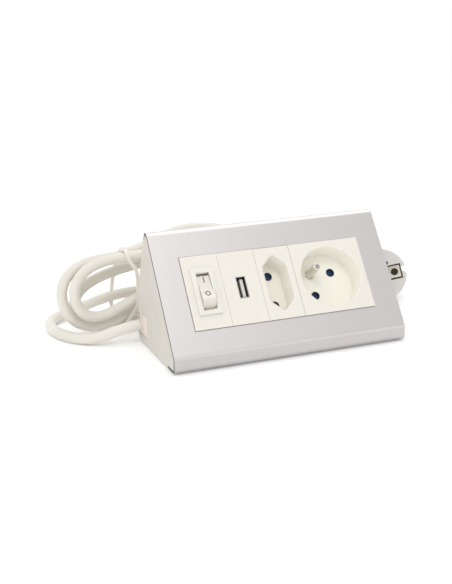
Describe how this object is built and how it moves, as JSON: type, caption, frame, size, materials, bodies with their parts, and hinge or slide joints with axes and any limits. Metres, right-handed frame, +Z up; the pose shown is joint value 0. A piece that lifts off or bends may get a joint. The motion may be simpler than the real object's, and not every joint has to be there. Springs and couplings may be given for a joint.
{
  "type": "desk power strip",
  "caption": "Wedge-shaped desktop power strip: sloping socket panel with rocker switch, USB outlet and mains sockets, tied lead with angled plug.",
  "frame": {"origin": "on the desk, midway between the two end caps and midway between the body's nose and its back, between its feet", "axes": "+X along the strip from the switch end to the earthed socket, +Y from the sloping panel to the back, +Z up"},
  "size_m": [0.2455, 0.1401, 0.072],
  "materials": {
    "aluminium": "satin anodised",
    "casing": "fine matt",
    "cap": "fine matt",
    "module": "satin",
    "cool_white": "satin",
    "rocker": "translucent satin",
    "inner_plastic": "moulded",
    "shutter": "moulded",
    "brass": "plain",
    "copper": "plain",
    "steel": "plain",
    "nickel": "plated",
    "rubber": "matt",
    "gland": "translucent",
    "cord": "satin flexible",
    "plug": "satin moulded",
    "board": "lacquered",
    "component": "taped",
    "core_brown": "flexible",
    "core_blue": "flexible",
    "core_green": "flexible"
  },
  "bodies": {
    "body": {"front_cover": "aluminium", "rear_casing": "casing", "left_end_cap": "cap", "right_end_cap": "cap", "module_frame": "inner_plastic", "base_screws": "steel", "rubber_feet": "rubber", "switch_module": "module", "switch_body": "cool_white", "switch_terminals": "brass", "usb_module": "module", "usb_shell": "steel", "usb_tongue": "cool_white", "usb_contacts": "brass", "usb_board": "board", "usb_components": "component", "usb_leads": "steel", "euro_module": "module", "euro_rear_housing": "inner_plastic", "euro_contacts": "brass", "euro_shutter_spring": "steel", "earthed_module": "module", "earthed_rear_housing": "inner_plastic", "earthed_contacts": "brass", "earth_pin": "nickel", "earthed_shutter_spring": "steel", "live_bus_bar": "copper", "neutral_bus_bar": "copper", "earth_bus_bar": "copper", "terminal_block": "inner_plastic", "terminal_screws": "steel", "live_wires": "core_brown", "neutral_wires": "core_blue", "earth_wires": "core_green", "cord_gland": "gland", "cord_clamp": "inner_plastic", "clamp_screws": "steel", "cord_lead": "cord", "cord_hank": "cord", "cord_tail": "cord", "cable_tie": "cool_white", "plug_body": "plug", "plug_strain_relief": "plug", "plug_pins": "nickel", "plug_earth_sleeve": "nickel", "plug_earth_clips": "nickel"},
    "rocker": {"switch_rocker": "rocker"},
    "contact_arm": {"switch_contact_arm": "copper"},
    "flat_shutter": {"euro_shutter": "shutter"},
    "earthed_shutter": {"earthed_shutter": "shutter"}
  },
  "joints": [
    {"name": "rocker_tilt", "type": "hinge", "parent": "body", "child": "rocker", "pos_m": [-0.04505, -0.01355, 0.038], "axis": [1, 0, 0], "range_deg": [0, 32]},
    {"name": "contact_arm_tilt", "type": "hinge", "parent": "body", "child": "contact_arm", "pos_m": [-0.04505, -0.00699, 0.03341], "axis": [1, 0, 0], "range_deg": [-20, 0]},
    {"name": "flat_shutter_slide", "type": "slide", "parent": "body", "child": "flat_shutter", "axis": [1, 0, 0], "range_m": [0, 0.0058], "stiffness_N_per_m": 60, "springref_m": -0.003, "deforming": ["euro_shutter_spring"]},
    {"name": "earthed_shutter_slide", "type": "slide", "parent": "body", "child": "earthed_shutter", "axis": [0.7071, -0.4056, -0.5792], "range_m": [0, 0.0058], "stiffness_N_per_m": 60, "springref_m": -0.003, "deforming": ["earthed_shutter_spring"]}
  ],
  "couplings": [
    {"joint": "contact_arm_tilt", "follows": "rocker_tilt", "ratio": -0.625}
  ]
}
